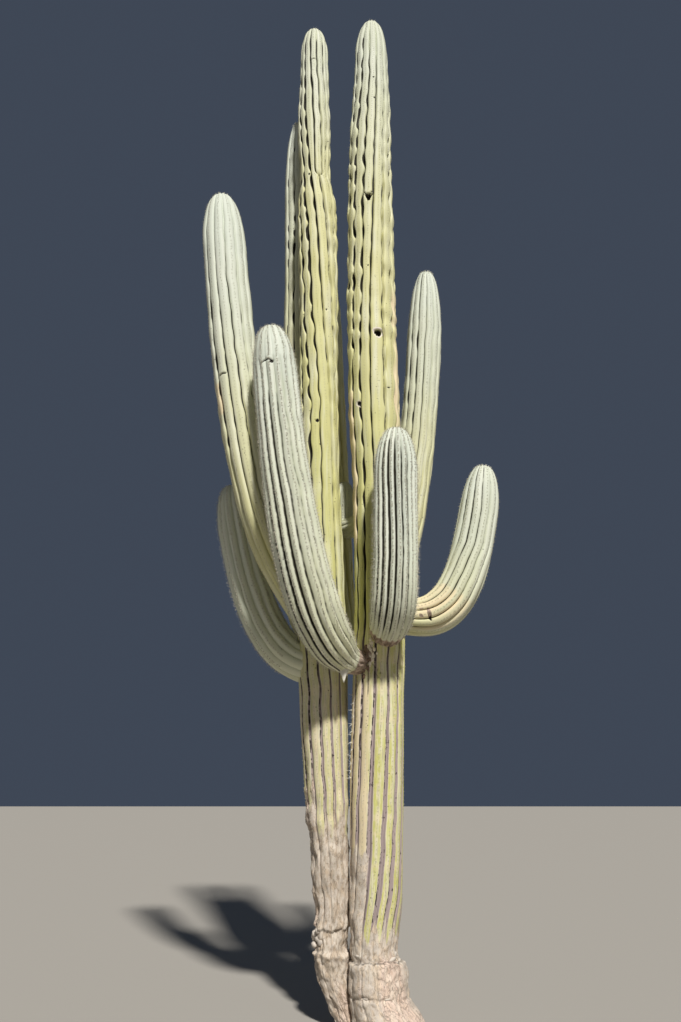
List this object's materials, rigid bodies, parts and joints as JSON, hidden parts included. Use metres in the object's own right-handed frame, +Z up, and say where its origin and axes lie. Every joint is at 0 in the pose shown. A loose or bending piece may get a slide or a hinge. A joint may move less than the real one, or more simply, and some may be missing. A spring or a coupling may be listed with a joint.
{
  "type": "saguaro cactus",
  "caption": "Tall ribbed columnar cactus: a clump of stems from one root, with upswept arms on all sides and a flat cut at ground level.",
  "frame": {"origin": "in the flat cut at ground level, under the right stem", "axes": "+Z up, +X to the viewer's right, -Y towards the viewer"},
  "size_m": [2.7501, 1.7386, 9.86],
  "materials": {
    "stem_skin": "matte",
    "arm_skin": "matte",
    "cork": "matte",
    "spines": "matte"
  },
  "bodies": {
    "root": {"trunk_right": "stem_skin", "trunk_left": "stem_skin", "arm_left_tall_elbow": "arm_skin", "arm_left_tall_column": "arm_skin", "arm_left_front_elbow": "arm_skin", "arm_left_front_column": "arm_skin", "arm_left_low_elbow": "arm_skin", "arm_left_low_column": "arm_skin", "arm_right_front_elbow": "arm_skin", "arm_right_front_column": "arm_skin", "arm_right_elbow": "arm_skin", "arm_right_column": "arm_skin", "arm_right_rear_elbow": "arm_skin", "arm_right_rear_column": "arm_skin", "arm_rear_left_elbow": "arm_skin", "arm_rear_left_column": "arm_skin", "arm_rear_middle_elbow": "arm_skin", "arm_rear_middle_column": "arm_skin", "arm_rear_bud": "arm_skin"}
  },
  "joints": []
}
